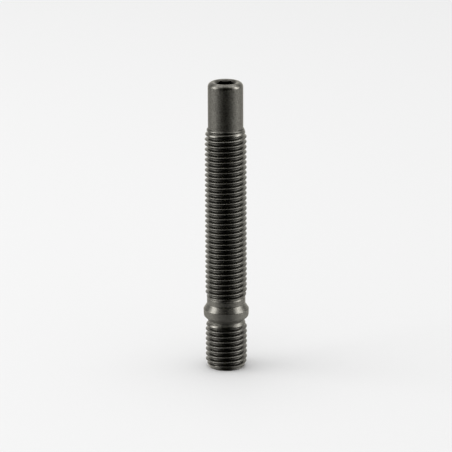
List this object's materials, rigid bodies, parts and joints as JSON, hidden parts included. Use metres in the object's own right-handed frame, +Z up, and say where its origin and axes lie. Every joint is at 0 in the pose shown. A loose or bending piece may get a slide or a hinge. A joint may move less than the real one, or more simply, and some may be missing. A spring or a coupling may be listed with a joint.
{
  "type": "screw-in wheel stud",
  "caption": "Black double-ended threaded stud with a stop collar above its short screw-in end, a long nut thread and a plain pilot nose with a hexagon socket.",
  "frame": {"origin": "centre of the screw-in end's face, at the bottom of the standing stud", "axes": "+Z up along the stud from the screw-in end to the pilot nose; X and Y square to it, with two corners of the hexagon socket on X"},
  "size_m": [0.013, 0.013, 0.0838],
  "materials": {
    "black_thread": "black phosphated steel, rolled thread, satin crests over dull grooves",
    "black_turned": "black phosphated steel, fine turned, satin"
  },
  "bodies": {
    "root": {"nose": "black_turned", "nut_thread": "black_thread", "runout_land": "black_turned", "collar": "black_turned", "neck": "black_turned", "hub_thread": "black_thread"}
  },
  "joints": []
}
